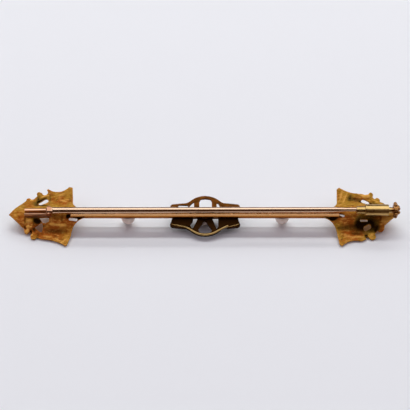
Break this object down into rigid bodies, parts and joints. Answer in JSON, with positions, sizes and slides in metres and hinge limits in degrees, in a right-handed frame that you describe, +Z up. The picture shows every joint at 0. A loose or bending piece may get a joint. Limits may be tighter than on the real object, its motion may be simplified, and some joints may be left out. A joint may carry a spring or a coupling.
{
  "type": "bar brooch",
  "caption": "Bar brooch seen from its pin side: round bar with pierced leaf ends, openwork centre, pearls, hinged pin and sliding pump catch.",
  "frame": {"origin": "middle of the brooch's box on the table it lies on", "axes": "+X along the bar towards the catch, +Y away from the viewer across the bar, +Z up from the table, out of the pin side"},
  "size_m": [0.0645, 0.0104, 0.0054],
  "materials": {
    "yellow_gold": "18 ct yellow gold, brushed on the back of the leaves, polished on bar and catch",
    "pin_gold": "drawn and polished rosier gold",
    "pearl": "satin pearl lustre"
  },
  "bodies": {
    "brooch": {"brooch_frame": "yellow_gold", "centre_pearl": "pearl", "left_pearl": "pearl", "right_pearl": "pearl", "hinge_rivet": "yellow_gold"},
    "pin": {"pin_stem": "pin_gold"},
    "sleeve": {"catch_sleeve": "yellow_gold"}
  },
  "joints": [
    {"name": "pin_hinge", "type": "hinge", "parent": "brooch", "child": "pin", "pos_m": [-0.02545, -0.00063, 0.00395], "axis": [0, -0.9559, -0.2937], "range_deg": [0, 95]},
    {"name": "catch_slide", "type": "slide", "parent": "brooch", "child": "sleeve", "axis": [1, 0, 0], "range_m": [0, 0.0025]}
  ]
}
